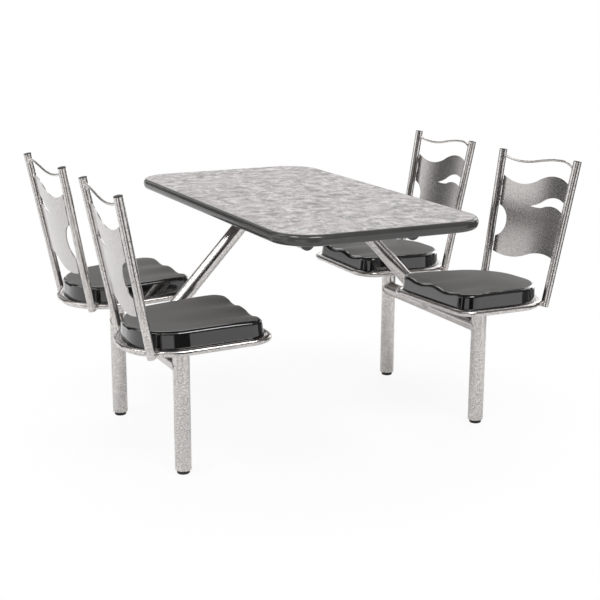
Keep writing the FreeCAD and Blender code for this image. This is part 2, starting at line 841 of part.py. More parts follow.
def add_panel_outline(sketch, half):
    """Waves along the top and bottom, a slot from the left upright and a bite at the right one."""
    low, high, tall = panel_low, panel_high, panel_high - panel_low
    top_wave, bottom_wave = cell("panel_top_wave").value, cell("panel_bottom_wave").value
    skew = cell("panel_bottom_skew").value

    def spot(shares):
        return (half * shares[0], low + tall * shares[1])

    upper_bend, upper_turn = [spot(shares) for shares in slot_upper_shares]
    upper_crest, upper_mouth = [spot(shares) for shares in slot_upper_crest_shares]
    lower_bend, lower_turn = [spot(shares) for shares in slot_lower_shares]
    lower_crest, lower_mouth = [spot(shares) for shares in slot_lower_crest_shares]
    tip = spot(slot_tip_shares)
    bite_top, bite_deep, bite_low = [spot(shares) for shares in bite_shares]
    left_low, right_low = (half, low + skew), (-half, low - skew)
    left_high, right_high = (half, high), (-half, high)

    add_lines(sketch, [left_low, lower_mouth])
    add_arc(sketch, lower_mouth, lower_crest, lower_turn)
    add_arc(sketch, lower_turn, lower_bend, tip)
    add_arc(sketch, tip, upper_bend, upper_turn)
    add_arc(sketch, upper_turn, upper_crest, upper_mouth)
    add_lines(sketch, [upper_mouth, left_high])
    add_arc(sketch, left_high, (half / 2, high + top_wave), (0, high))
    add_arc(sketch, (0, high), (-half / 2, high - top_wave), right_high)
    add_lines(sketch, [right_high, bite_top])
    add_arc(sketch, bite_top, bite_deep, bite_low)
    add_lines(sketch, [bite_low, right_low])
    add_arc(sketch, right_low, (-half / 2, low - bottom_wave), (0, low))
    add_arc(sketch, (0, low), (half / 2, low + bottom_wave), left_low)


def build_panel():
    """A bowed sheet, cut to its outline and notched round the uprights."""
    half = half_span((panel_low + panel_high) / 2)
    wide = half_span(back_length)
    bow, thickness = cell("panel_bow").value, cell("panel_thickness").value
    blank = doc.addObject("PartDesign::Body", "PanelSheet")
    section = add_sketch(blank, "PanelSection", "XZ_Plane")
    add_arc(section, (-wide, 0), (0, -bow), (wide, 0))
    add_lines(section, [(wide, 0), (wide, -thickness)])
    add_arc(section, (wide, -thickness), (0, -bow - thickness), (-wide, -thickness))
    add_lines(section, [(-wide, -thickness), (-wide, 0)])
    add_pad(blank, section, upright_length, reverse=True)
    pattern = doc.addObject("PartDesign::Body", "PanelPattern")
    outline = add_sketch(pattern, "PanelOutline", "XY_Plane")
    add_panel_outline(outline, half)
    deep = cell("panel_bow") + cell("panel_thickness") + overrun
    add_pad(pattern, outline, 2 * deep, symmetric=True)
    panel = doc.addObject("Part::Common", "PanelBlank")
    panel.Base = blank
    panel.Tool = pattern
    panel.Placement = back_plane
    return cut("Panel", panel, *upright_rooms("Panel"))


def build_rod():
    """A thin rod in one long wave from upright to upright."""
    height, wave = back_length - cell("rod_drop").value, cell("rod_wave").value
    half = half_span(height)
    body = doc.addObject("PartDesign::Body", "TopRod")
    path = add_sketch(body, "RodPath", "XY_Plane", -cell("rod_setback"))
    add_arc(path, (0, height), (half / 2, height + wave), (half, height))
    add_arc(path, (0, height), (-half / 2, height - wave), (-half, height))
    section = body.newObject("Sketcher::SketchObject", "RodSection")
    section.AttachmentSupport = (path, ["Edge1"])
    section.MapMode = "NormalToEdge"
    add_circle(section, cell("rod_diameter") / 2)
    pipe = body.newObject("PartDesign::AdditivePipe", "RodPipe")
    pipe.Profile = section
    pipe.Spine = (path, ["Edge1", "Edge2"])
    body.Placement = back_plane
    return cut("Rod", body, *upright_rooms("Rod"))


def build_chairs():
    upright = tube("Upright", cell("upright_diameter"), cell("upright_wall"), upright_length)
    pieces = {
        "seat_shell": build_seat_shell(),
        "seat_ring": ring_solid("SeatRing", ring_radius, ring_radius - cell("ring_tube_wall")),
        "seat_plate": build_seat_plate(),
        "seat_screws": build_seat_screws(),
        "swivel_spindle": build_spindle(),
        "back_panel": build_panel(),
        "top_rod": build_rod(),
        "upright_plugs": build_plugs(),
    }
    for name, across, place in post_places():
        turn = cell("turn_" + name).value + (180 if across > 0 else 0)
        stand = Placement(place, Rotation(Vector(0, 0, 1), turn))
        for piece, master in pieces.items():
            deliver(f"{piece}_{name}", linked(f"Chair_{piece}_{name}", master, stand))
        for hand, sign in (("left", 1), ("right", -1)):
            lean = stand.multiply(upright_placement(sign))
            deliver(f"upright_{hand}_{name}", linked(f"Chair_upright_{hand}_{name}", upright, lean))


build_top()
build_frame()
build_chairs()
doc.recompute()

for item in doc.Objects:
    if "Invalid" in item.State or "Error" in item.State:
        raise RuntimeError(f"{item.Name} failed: {item.State}")
for node in nodes:
    shape = Part.getShape(node)
    if shape.isNull() or not shape.isValid() or not shape.Solids:
        raise RuntimeError(f"{node.Label} has no valid solid")

os.makedirs("parts", exist_ok=True)
for node in nodes:
    Part.getShape(node).exportStep(f"parts/{node.Label}.step")
print(len(nodes), "pieces written")
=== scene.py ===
import math
import bmesh
import bpy
from mathutils import Euler, Matrix, Vector


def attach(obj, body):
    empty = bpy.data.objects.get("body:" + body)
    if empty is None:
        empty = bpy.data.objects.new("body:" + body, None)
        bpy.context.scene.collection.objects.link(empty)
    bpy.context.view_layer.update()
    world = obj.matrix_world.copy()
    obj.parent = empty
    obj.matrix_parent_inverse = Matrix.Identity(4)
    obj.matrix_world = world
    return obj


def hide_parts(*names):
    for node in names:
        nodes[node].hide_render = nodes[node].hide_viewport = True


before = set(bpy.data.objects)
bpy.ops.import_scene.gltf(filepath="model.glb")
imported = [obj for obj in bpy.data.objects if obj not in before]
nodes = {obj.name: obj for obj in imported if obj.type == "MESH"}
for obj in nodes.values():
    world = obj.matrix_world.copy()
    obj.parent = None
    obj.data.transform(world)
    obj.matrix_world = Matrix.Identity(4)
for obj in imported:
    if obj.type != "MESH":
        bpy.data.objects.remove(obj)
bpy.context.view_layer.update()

scene = bpy.context.scene
upward = Vector((0.0, 0.0, 1.0))
print("scene: frame loaded,", len(nodes), "nodes")


class Wire:
    def __init__(self, net, socket):
        self.net, self.socket = net, socket

    def maths(self, operation, first, second=0.0):
        return self.net.node("ShaderNodeMath", {"operation": operation}, {0: first, 1: second})

    def __add__(self, other):
        return self.maths("ADD", self, other)

    def __radd__(self, other):
        return self.maths("ADD", other, self)

    def __sub__(self, other):
        return self.maths("SUBTRACT", self, other)

    def __rsub__(self, other):
        return self.maths("SUBTRACT", other, self)

    def __mul__(self, other):
        return self.maths("MULTIPLY", self, other)

    def __rmul__(self, other):
        return self.maths("MULTIPLY", other, self)

    def __abs__(self):
        return self.maths("ABSOLUTE", self)


class Net:
    def __init__(self, tree):
        self.tree = tree

    def node(self, kind, settings=None, values=None, output=0):
        made = self.tree.nodes.new(kind)
        for name, value in (settings or {}).items():
            setattr(made, name, value)
        for name, value in (values or {}).items():
            if isinstance(value, Wire):
                self.tree.links.new(value.socket, made.inputs[name])
            else:
                made.inputs[name].default_value = value
        return Wire(self, made.outputs[output])

    def noise(self, place, scale, detail=2.0, roughness=0.5, distortion=0.0):
        return self.node("ShaderNodeTexNoise", {}, {"Vector": place, "Scale": scale, "Detail": detail,
                                                    "Roughness": roughness, "Distortion": distortion})

    def cells(self, place, scale):
        return self.node("ShaderNodeTexVoronoi", {}, {"Vector": place, "Scale": scale}, "Color")

    def ramp(self, value, low, high, start=0.0, end=1.0):
        limits = {"Value": value, "From Min": low, "From Max": high, "To Min": start, "To Max": end}
        return self.node("ShaderNodeMapRange", {"interpolation_type": "SMOOTHSTEP"}, limits)

    def blend(self, share, first, second):
        return self.node("ShaderNodeMix", {"data_type": "RGBA"}, {0: share, 6: first, 7: second}, 2)

    def dot(self, first, second):
        return self.node("ShaderNodeVectorMath", {"operation": "DOT_PRODUCT"}, {0: first, 1: second}, "Value")

    def bump(self, relief, height):
        strength, distance = relief
        return self.node("ShaderNodeBump", {}, {"Strength": strength, "Distance": distance, "Height": height})


def newMaterial(name, constants):
    material = bpy.data.materials.new(name)
    material.use_nodes = True
    net = Net(material.node_tree)
    shader = material.node_tree.nodes["Principled BSDF"]
    for socket, value in constants.items():
        shader.inputs[socket].default_value = value
    place = net.node("ShaderNodeTexCoord", output="Object")
    return material, net, shader, place


def plug(net, shader, **links):
    for socket, wire in links.items():
        net.tree.links.new(wire.socket, shader.inputs[socket.replace("_", " ")])


def colour(red, green, blue):
    return (red, green, blue, 1.0)


white = colour(1.0, 1.0, 1.0)


# Camera
cameraSpec = {"place": (-1.7397, -3.5500, 1.3930), "yaw": 26.26, "pitch": 14.13, "roll": 0.17,
              "lens": 76.45, "sensor": 36.0, "farthest": 200.0}
yaw, pitch, roll = (math.radians(cameraSpec[turn]) for turn in ("yaw", "pitch", "roll"))
cameraData = bpy.data.cameras.new("photoCamera")
cameraData.sensor_width = cameraSpec["sensor"]
cameraData.lens = cameraSpec["lens"]
cameraData.clip_end = cameraSpec["farthest"]
camera = bpy.data.objects.new("photoCamera", cameraData)
scene.collection.objects.link(camera)
cameraTurn = Euler((math.radians(90.0) - pitch, 0.0, -yaw)).to_matrix() @ Matrix.Rotation(roll, 3, "Z")
camera.matrix_world = Matrix.Translation(cameraSpec["place"]) @ cameraTurn.to_4x4()
scene.camera = camera
scene.view_settings.view_transform = "Standard"
print("scene: camera placed")


# World: pale studio. Bearing 0 is behind the camera, plus is its left and 180 is past the object
studioSpec = {"overhead": 0.06, "wall": 0.16, "sweep": 1.0, "horizon": (-5.0, -1.0), "ceiling": (60.0, 72.0),
              "farSoft": 4.0, "gapSoft": (2.0, 3.0)}
softBoxes = (  # bearing from and to, rise from and to, softness of both, strength
    {"bearing": (-88.0, -33.0), "rise": (-3.0, 5.0), "soft": (2.0, 2.0), "strength": 0.8},
    {"bearing": (0.0, 35.0), "rise": (-3.0, 6.0), "soft": (2.0, 2.0), "strength": 0.8},
    {"bearing": (55.0, 115.0), "rise": (-3.0, 20.0), "soft": (4.0, 6.0), "strength": 1.0},
    {"bearing": (138.0, 147.0), "rise": (-3.0, 30.0), "soft": (3.0, 6.0), "strength": 0.8},
    {"bearing": (-150.0, -116.0), "rise": (14.0, 48.0), "soft": (4.0, 5.0), "strength": 1.5},
    {"bearing": (-158.0, -139.0), "rise": (-6.0, 22.0), "soft": (2.0, 4.0), "strength": 2.4},
    {"bearing": (80.0, 112.0), "rise": (30.0, 52.0), "soft": (4.0, 4.0), "strength": 2.1},
    {"bearing": (-60.0, 70.0), "rise": (34.0, 60.0), "soft": (5.0, 3.0), "strength": 0.9},
    {"bearing": (-44.0, -8.0), "rise": (39.0, 54.0), "soft": (4.0, 1.5), "strength": 9.0},
    {"bearing": (34.0, 58.0), "rise": (39.0, 54.0), "soft": (3.0, 1.5), "strength": 9.0},
)
darkGaps = (  # bearing from and to, rise from and to, share of light taken out
    {"bearing": (-33.0, 0.0), "rise": (-40.0, 30.0), "share": 0.96},
    {"bearing": (35.0, 55.0), "rise": (-40.0, 30.0), "share": 0.85},
    {"bearing": (-135.0, -86.0), "rise": (-40.0, 11.0), "share": 0.88},
    {"bearing": (-172.0, -133.0), "rise": (-40.0, -9.0), "share": 0.85},
    {"bearing": (115.0, 132.0), "rise": (-4.0, 60.0), "share": 0.80},
    {"bearing": (149.0, 158.0), "rise": (-4.0, 30.0), "share": 0.60},
)
farWalls = (  # bearing where the light begins and is full on either side, rise from and to, strength
    {"bearing": (150.0, 162.0), "rise": (-3.0, 32.0), "strength": 0.9},
    {"bearing": (140.0, 152.0), "rise": (42.0, 58.0), "strength": 2.2},
)
world = bpy.data.worlds.new("studio")
scene.world = world
world.use_nodes = True
worldNet = Net(world.node_tree)
sky = worldNet.node("ShaderNodeTexCoord", output="Generated")
ahead = Vector((math.sin(yaw), math.cos(yaw), 0.0))
aside = Vector((ahead.y, -ahead.x, 0.0))
toLeft, toBack, toTop = (worldNet.dot(sky, tuple(way)) for way in (-aside, -ahead, upward))
bearing = toLeft.maths("ARCTAN2", toLeft, toBack) * math.degrees(1.0)
rise = toTop.maths("ARCSINE", toTop) * math.degrees(1.0)


def between(value, limits, soft):
    low, high = limits
    return worldNet.ramp(value, low - soft, low + soft) * worldNet.ramp(value, high + soft, high - soft)


glow = (worldNet.ramp(rise, *studioSpec["horizon"], studioSpec["sweep"], studioSpec["wall"])
        + worldNet.ramp(rise, *studioSpec["ceiling"], 0.0, studioSpec["overhead"] - studioSpec["wall"]))
for box in softBoxes:
    lit = between(bearing, box["bearing"], box["soft"][0]) * between(rise, box["rise"], box["soft"][1])
    glow = glow + lit * box["strength"]
for wall in farWalls:
    lit = worldNet.ramp(abs(bearing), *wall["bearing"]) * between(rise, wall["rise"], studioSpec["farSoft"])
    glow = glow + lit * wall["strength"]
for gap in darkGaps:
    softAcross, softUp = studioSpec["gapSoft"]
    shut = between(bearing, gap["bearing"], softAcross) * between(rise, gap["rise"], softUp)
    glow = glow * (1.0 - gap["share"] * shut)
lamp = worldNet.node("ShaderNodeCombineColor", {}, {0: glow, 1: glow, 2: glow})
shown = worldNet.blend(worldNet.node("ShaderNodeLightPath", output="Is Camera Ray"), lamp, white)
worldNet.tree.links.new(shown.socket, world.node_tree.nodes["Background"].inputs["Color"])
print("scene: studio lit")


# Floor: a pale sheet that fades to white round the object
floorSpec = {"radius": 1.9, "segments": 96, "albedo": 0.95, "lift": 0.90, "mirrored": 0.2,
             "fadeFrom": 0.50, "fadeTo": 1.15}
floorMesh = bpy.data.meshes.new("floorSheet")
sheet = bmesh.new()
bmesh.ops.create_circle(sheet, cap_ends=True, radius=floorSpec["radius"], segments=floorSpec["segments"])
sheet.to_mesh(floorMesh)
sheet.free()
floor = bpy.data.objects.new("floorSheet", floorMesh)
scene.collection.objects.link(floor)
floorMaterial = bpy.data.materials.new("paleFloor")
floorMaterial.use_nodes = True
floorNet = Net(floorMaterial.node_tree)
floorMaterial.node_tree.nodes.remove(floorMaterial.node_tree.nodes["Principled BSDF"])
spot = floorNet.node("ShaderNodeTexCoord", output="Object")
reach = floorNet.node("ShaderNodeVectorMath", {"operation": "LENGTH"}, {0: spot}, "Value")
seen = (floorNet.node("ShaderNodeLightPath", output="Is Camera Ray")
        + floorSpec["mirrored"] * floorNet.node("ShaderNodeLightPath", output="Is Glossy Ray"))
lift = floorNet.ramp(reach, floorSpec["fadeFrom"], floorSpec["fadeTo"], floorSpec["lift"], 1.0)
matte = floorNet.node("ShaderNodeBsdfDiffuse", {}, {"Color": colour(*(floorSpec["albedo"],) * 3)})
paper = floorNet.node("ShaderNodeEmission", {}, {"Color": white, "Strength": 1.0})
lifted = floorNet.node("ShaderNodeMixShader", {}, {0: lift * seen, 1: matte, 2: paper})
floorNet.tree.links.new(lifted.socket, floorMaterial.node_tree.nodes["Material Output"].inputs["Surface"])
floorMesh.materials.append(floorMaterial)
print("scene: floor laid")


# Silver vein coat: bright flakes on a darker ground
coatSpec = {"grain": 1000.0, "flake": 840.0, "drift": 14.0, "flakeMix": (0.4, 0.3, 0.3), "flakeShare": 0.65,
            "vein": (0.38, 0.58), "relief": (0.2, 0.0002), "flakeRough": 0.10, "driftRough": 0.03,
            "lacquer": 0.4, "lacquerRough": 0.06}
tubeCoat = {"rough": 0.14, "fine": 1.0,
            "dark": colour(0.25, 0.239, 0.231), "silver": colour(0.90, 0.859, 0.833)}
panelCoat = {"rough": 0.18, "fine": 1.15,
             "dark": colour(0.34, 0.326, 0.317), "silver": colour(0.66, 0.633, 0.616)}


def makeCoat(name, coat):
    lacquer = {"Coat Weight": coatSpec["lacquer"], "Coat Roughness": coatSpec["lacquerRough"]}
    material, net, shader, place = newMaterial(name, {"Metallic": 1.0, **lacquer})
    grain = net.noise(place, coatSpec["grain"] * coat["fine"], 2.0, 0.7)
    flake = net.dot(net.cells(place, coatSpec["flake"] * coat["fine"]), coatSpec["flakeMix"])
    drift = net.noise(place, coatSpec["drift"], 3.0)
    speckle = grain * (1.0 - coatSpec["flakeShare"]) + flake * coatSpec["flakeShare"]
    vein = net.blend(net.ramp(speckle, *coatSpec["vein"]), coat["dark"], coat["silver"])
    rough = coat["rough"] + coatSpec["flakeRough"] * flake + coatSpec["driftRough"] * drift
    plug(net, shader, Base_Color=vein, Roughness=rough, Normal=net.bump(coatSpec["relief"], grain))
    return material


# Seat plastic: the level top is finely grained and streaked, the rim and skirt are polished. The level top is
# painted a lighter grey than the black skirt, as painted sheen
glossSpec = {"deep": colour(0.007, 0.007, 0.007), "worn": colour(0.020, 0.020, 0.020),
             "seat": colour(0.124, 0.121, 0.115), "sideRough": 0.04, "topRough": 0.52, "lacquerRough": 0.03,
             "level": (0.955, 0.99), "drawn": (5.0, 75.0, 75.0), "haze": 9.0, "grain": 1400.0,
             "dust": 900.0, "dusty": (0.62, 0.80), "relief": (0.08, 0.0001)}


def makeGloss(name):
    material, net, shader, place = newMaterial(name, {"Coat Roughness": glossSpec["lacquerRough"]})
    normal = net.node("ShaderNodeTexCoord", output="Normal")
    facing = net.node("ShaderNodeSeparateXYZ", {}, {0: normal}, "Z")
    seating = net.ramp(facing, *glossSpec["level"])
    haze = net.noise(place, glossSpec["haze"], 4.0, 0.6)
    drawn = net.node("ShaderNodeMapping", {}, {"Vector": place, "Scale": glossSpec["drawn"]})
    streak = net.noise(drawn, 1.0, 4.0, 0.65)  # faint lines along the seat
    dust = net.ramp(net.noise(place, glossSpec["dust"], 2.0, 0.7), *glossSpec["dusty"])
    grain = net.noise(place, glossSpec["grain"], 2.0, 0.6)
    skirt = net.blend(dust * 0.35 + haze * 0.2, glossSpec["deep"], glossSpec["worn"])
    # painted sheen: the up-facing top gets the lighter seat grey, varied by dust, haze and streaks
    paintedTopSheen = seating * (0.52 + 0.20 * haze + 0.2 * dust + 0.50 * streak)
    rough = (glossSpec["sideRough"] + (glossSpec["topRough"] - glossSpec["sideRough"]) * seating
             + 0.03 * haze + 0.05 * dust + 0.06 * seating * streak)
    plug(net, shader, Base_Color=net.blend(paintedTopSheen, skirt, glossSpec["seat"]), Roughness=rough,
         Coat_Weight=1.0 - seating, Normal=net.bump(glossSpec["relief"], grain * seating))
    return material


# Laminate: grey clouds and flecks with a warm tint here and there
laminateSpec = {"cloud": 27.0, "fleck": 120.0, "warmth": 17.0, "cloudShare": 0.65, "shade": (0.36, 0.64),
                "dark": colour(0.21, 0.194, 0.197), "light": colour(0.74, 0.712, 0.712),
                "warm": colour(0.54, 0.485, 0.472), "warmed": (0.40, 0.70), "mostWarm": 0.4,
                "rough": 0.40, "fleckRough": 0.12, "specular": 0.35, "relief": (0.1, 0.0002)}


def makeLaminate(name):
    material, net, shader, place = newMaterial(name, {"Specular IOR Level": laminateSpec["specular"]})
    cloud = net.noise(place, laminateSpec["cloud"], 5.0, 0.62, 0.8)
    fleck = net.noise(place, laminateSpec["fleck"], 3.0, 0.6)
    warmth = net.noise(place, laminateSpec["warmth"], 3.0, 0.5)
    mottle = cloud * laminateSpec["cloudShare"] + fleck * (1.0 - laminateSpec["cloudShare"])
    grey = net.blend(net.ramp(mottle, *laminateSpec["shade"]), laminateSpec["dark"], laminateSpec["light"])
    warmed = net.ramp(warmth, *laminateSpec["warmed"], 0.0, laminateSpec["mostWarm"])
    plug(net, shader, Base_Color=net.blend(warmed, grey, laminateSpec["warm"]),
         Roughness=laminateSpec["rough"] + laminateSpec["fleckRough"] * fleck,
         Normal=net.bump(laminateSpec["relief"], fleck))
    return material


# Other plastics, bare steel and the board's chips
plasticSpec = {"drift": 12.0, "pitShare": 0.6, "tone": (0.3, 0.7), "pitRough": 0.15, "relief": (0.06, 0.0001)}
steelSpec = {"spangle": 320.0, "brush": 700.0, "mix": (0.33, 0.33, 0.34), "spangleShare": 0.6,
             "brushRough": 0.15}
boardSpec = {"chip": 260.0, "mix": (0.4, 0.3, 0.3), "rough": 0.85, "relief": (0.4, 0.0004)}


def makePlastic(name, dark, light, rough, pitScale):
    material, net, shader, place = newMaterial(name, {"Specular IOR Level": 0.5})
    pit = net.noise(place, pitScale, 3.0, 0.6)
    drift = net.noise(place, plasticSpec["drift"], 3.0)
    tone = plasticSpec["pitShare"] * pit + (1.0 - plasticSpec["pitShare"]) * drift
    plug(net, shader, Base_Color=net.blend(net.ramp(tone, *plasticSpec["tone"]), dark, light),
         Roughness=rough + plasticSpec["pitRough"] * pit, Normal=net.bump(plasticSpec["relief"], pit))
    return material


def makeSteel(name, dark, light, rough):
    material, net, shader, place = newMaterial(name, {"Metallic": 1.0})
    spangle = net.dot(net.cells(place, steelSpec["spangle"]), steelSpec["mix"])
    brush = net.noise(place, steelSpec["brush"], 2.0, 0.6)
    tone = spangle * steelSpec["spangleShare"] + brush * (1.0 - steelSpec["spangleShare"])
    plug(net, shader, Base_Color=net.blend(tone, dark, light),
         Roughness=rough + steelSpec["brushRough"] * brush)
    return material


def makeBoard(name, dark, light):
    material, net, shader, place = newMaterial(name, {"Roughness": boardSpec["rough"]})
    chip = net.dot(net.cells(place, boardSpec["chip"]), boardSpec["mix"])
    plug(net, shader, Base_Color=net.blend(chip, dark, light), Normal=net.bump(boardSpec["relief"], chip))
    return material


plastics = {  # material, dark and light colour, roughness, scale of the pits
    "edge_band": ("edgeBandPlastic", colour(0.056, 0.056, 0.055), colour(0.073, 0.072, 0.070), 0.03, 900.0),
    "backing_sheet": ("backingSheet", colour(0.10, 0.095, 0.09), colour(0.15, 0.14, 0.13), 0.48, 300.0),
    "black_plastic": ("satinBlackPlastic", colour(0.010, 0.010, 0.010), colour(0.022, 0.022, 0.022),
                      0.33, 600.0),
    "cap_plastic": ("greyCapPlastic", colour(0.060, 0.060, 0.060), colour(0.085, 0.084, 0.083), 0.23, 700.0),
    "nylon": ("whiteNylon", colour(0.70, 0.69, 0.66), colour(0.78, 0.77, 0.74), 0.38, 500.0),
}
finishes = {
    "frame_paint": makeCoat("silverVeinCoat", tubeCoat),
    "panel_paint": makeCoat("silverVeinPanel", panelCoat),
    "laminate": makeLaminate("mottledLaminate"),
    "core_board": makeBoard("particleBoard", colour(0.30, 0.20, 0.12), colour(0.55, 0.42, 0.28)),
    "seat_plastic": makeGloss("glossBlackPlastic"),
    "spindle_steel": makeSteel("turnedSteel", colour(0.42, 0.41, 0.40), colour(0.60, 0.59, 0.58), 0.25),
    "zinc_screws": makeSteel("zincPlate", colour(0.46, 0.46, 0.44), colour(0.66, 0.66, 0.62), 0.28),
}
for finish, look in plastics.items():
    finishes[finish] = makePlastic(*look)
finishOfPrefix = {  # a longer name stands before a shorter one that begins it
    "tabletop_core": "core_board", "tabletop_laminate": "laminate", "tabletop_backer": "backing_sheet",
    "tabletop_edge_band": "edge_band", "beam": "frame_paint", "rail_end_caps": "cap_plastic",
    "rail": "frame_paint", "strut": "frame_paint", "post": "frame_paint", "swivel_bushings": "nylon",
    "levelling_glides": "black_plastic", "glide_inserts": "nylon", "mount_plates": "frame_paint",
    "board_screws": "zinc_screws", "seat_shell": "seat_plastic", "seat_ring": "frame_paint",
    "seat_plate": "frame_paint", "seat_screws": "zinc_screws", "swivel_spindle": "spindle_steel",
    "back_panel": "panel_paint", "top_rod": "frame_paint", "upright_plugs": "black_plastic",
    "upright": "frame_paint",
}
for name, item in nodes.items():
    finish = next(finish for prefix, finish in finishOfPrefix.items() if name.startswith(prefix))
    item.data.materials.clear()
    item.data.materials.append(finishes[finish])
print("scene: materials on", len(nodes), "nodes")


def newPiece(name, mesh):
    piece = bpy.data.objects.new(name, mesh)
    scene.collection.objects.link(piece)
    return piece


def settle(piece, body, replaced=None):
    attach(piece, body)
    if replaced:
        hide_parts(replaced)


# Edge band: a half-oval nose all round the top
bandSpec = {"width": 0.650, "length": 1.219, "corner": 0.116, "depth": 0.011, "land": 0.0005, "top": 0.737,
            "thick": 0.032, "noseSteps": 24, "cornerSteps": 24, "sharp": 35.0}


def bandRing(inset, level):
    radius = bandSpec["corner"] - inset
    ring = []
    for quarter, (signX, signY) in enumerate(((1.0, 1.0), (-1.0, 1.0), (-1.0, -1.0), (1.0, -1.0))):
        centre = Vector((signX * (bandSpec["width"] / 2.0 - bandSpec["corner"]),
                         signY * (bandSpec["length"] / 2.0 - bandSpec["corner"]), level))
        for step in range(bandSpec["cornerSteps"] + 1):
            angle = math.pi / 2.0 * (quarter + step / bandSpec["cornerSteps"])
            ring.append(centre + Vector((math.cos(angle), math.sin(angle), 0.0)) * radius)
    return ring


def makeBand(name):
    half, nose = bandSpec["thick"] / 2.0, bandSpec["depth"] - bandSpec["land"]
    profile = [(bandSpec["depth"], bandSpec["top"])]
    for step in range(bandSpec["noseSteps"] + 1):
        swing = math.pi * (0.5 - step / bandSpec["noseSteps"])
        profile.append((nose * (1.0 - math.cos(swing)), bandSpec["top"] - half + half * math.sin(swing)))
    profile.append((bandSpec["depth"], bandSpec["top"] - bandSpec["thick"]))
    rings = [bandRing(inset, level) for inset, level in profile]
    around = len(rings[0])
    faces = []
    for row in range(len(rings)):
        upper, lower = row * around, (row + 1) % len(rings) * around
        for step in range(around):
            following = (step + 1) % around
            faces.append((upper + step, lower + step, lower + following, upper + following))
    mesh = bpy.data.meshes.new(name)
    mesh.from_pydata([point for ring in rings for point in ring], [], faces)
    mesh.shade_smooth()
    mesh.set_sharp_from_angle(angle=math.radians(bandSpec["sharp"]))
    mesh.materials.append(finishes["edge_band"])
    return mesh


settle(newPiece("edgeBand", makeBand("edgeBand")), "frame", "tabletop_edge_band")
print("scene: edge band rounded")


# Repeats: a small tree lays an instance at each place, and the result is kept as one plain mesh for each body
def newTree(name, sockets):
    tree = bpy.data.node_groups.new(name, "GeometryNodeTree")
    tree.interface.new_socket("Geometry", in_out="OUTPUT", socket_type="NodeSocketGeometry")
    for label, kind in (("Geometry", "NodeSocketGeometry"),) + sockets:
        tree.interface.new_socket(label, in_out="INPUT", socket_type=kind)
    net = Net(tree)
    entry = tree.nodes.new("NodeGroupInput")
    return tree, net, {socket.name: Wire(net, socket) for socket in entry.outputs if socket.name}


def closeTree(tree, net, instances, finish):
    plain = net.node("GeometryNodeRealizeInstances", {}, {0: instances})
    painted = net.node("GeometryNodeSetMaterial", {}, {"Geometry": plain, "Material": finish})
    tree.links.new(painted.socket, tree.nodes.new("NodeGroupOutput").inputs[0])


def bake(name, mesh, tree, values, body, replaced=None):
    piece = newPiece(name, mesh)
    spread = piece.modifiers.new("spread", "NODES")
    spread.node_group = tree
    for item in tree.interface.items_tree:
        if item.in_out == "INPUT" and item.name in values:
            spread[item.identifier] = values[item.name]
    piece.update_tag()
    baked = bpy.data.meshes.new_from_object(piece.evaluated_get(bpy.context.evaluated_depsgraph_get()))
    piece.modifiers.clear()
    piece.data = baked
    settle(piece, body, replaced)


# Where a chair stands: built facing +X over its post, then turned
postSpec = {"across": 0.506, "along": 0.2867, "radius": 0.02415}
chairTurns = {"front_left": -2.0, "front_right": 185.0, "rear_left": 2.0, "rear_right": 180.0}
signs = {"left": -1.0, "right": 1.0, "front": -1.0, "rear": 1.0}
chairPlaces = {}
for corner, turn in chairTurns.items():
    end, side = corner.split("_")
    place = Vector((signs[side] * postSpec["across"], signs[end] * postSpec["along"], 0.0))
    chairPlaces[corner] = Matrix.Translation(place) @ Matrix.Rotation(math.radians(turn), 4, "Z")

# Seat ring: its height and slope, and how it narrows from the front to the rear
ringSpec = {"height": 0.418, "slope": 3.0, "half": 0.191, "narrows": 0.027, "front": 0.210, "length": 0.386}
ringSlope = math.radians(ringSpec["slope"])
ringPlane = Matrix.Translation(upward * ringSpec["height"]) @ Matrix.Rotation(-ringSlope, 4, "Y")

# Chair back: the uprights' feet, lean and size
backSpec = {"foot": Vector((-0.13455, 0.15169, 0.40302)), "recline": 10.7, "splay": 2.8, "upright": 0.0127}
recline, splay = math.radians(backSpec["recline"]), math.radians(backSpec["splay"])
upBack = Vector((-math.sin(recline), 0.0, math.cos(recline)))
outBack = Vector((math.cos(recline), 0.0, math.sin(recline)))


def onBack(across, height, depth):
    return Vector((backSpec["foot"].x, across, backSpec["foot"].z)) + upBack * height + outBack * depth


def uprightAcross(height):
    return backSpec["foot"].y + height * math.tan(splay)


# Back panel: a copy of the sheet, swayed to pass before the sitter's left upright and behind the right one
panelSpec = {"sway": 0.007, "widen": 0.0021, "weld": 0.00001, "sharp": 35.0}
for corner, stand in chairPlaces.items():
    mould = bmesh.new()
    mould.from_mesh(nodes["back_panel_" + corner].data)
    mould.transform(stand.inverted())
    bmesh.ops.remove_doubles(mould, verts=mould.verts, dist=panelSpec["weld"])
    for vert in mould.verts:
        share = vert.co.y / uprightAcross((vert.co - onBack(0.0, 0.0, 0.0)).dot(upBack))
        vert.co += outBack * panelSpec["sway"] * share + Vector((0.0, panelSpec["widen"] * share, 0.0))
    mould.transform(stand)
    mesh = bpy.data.meshes.new("backPanel_" + corner)
    mould.to_mesh(mesh)
    mould.free()
    mesh.shade_smooth()
    mesh.set_sharp_from_angle(angle=math.radians(panelSpec["sharp"]))
    mesh.materials.append(finishes["panel_paint"])
    settle(newPiece("backPanel_" + corner, mesh), "chair_" + corner, "back_panel_" + corner)
print("scene: back panels swayed")


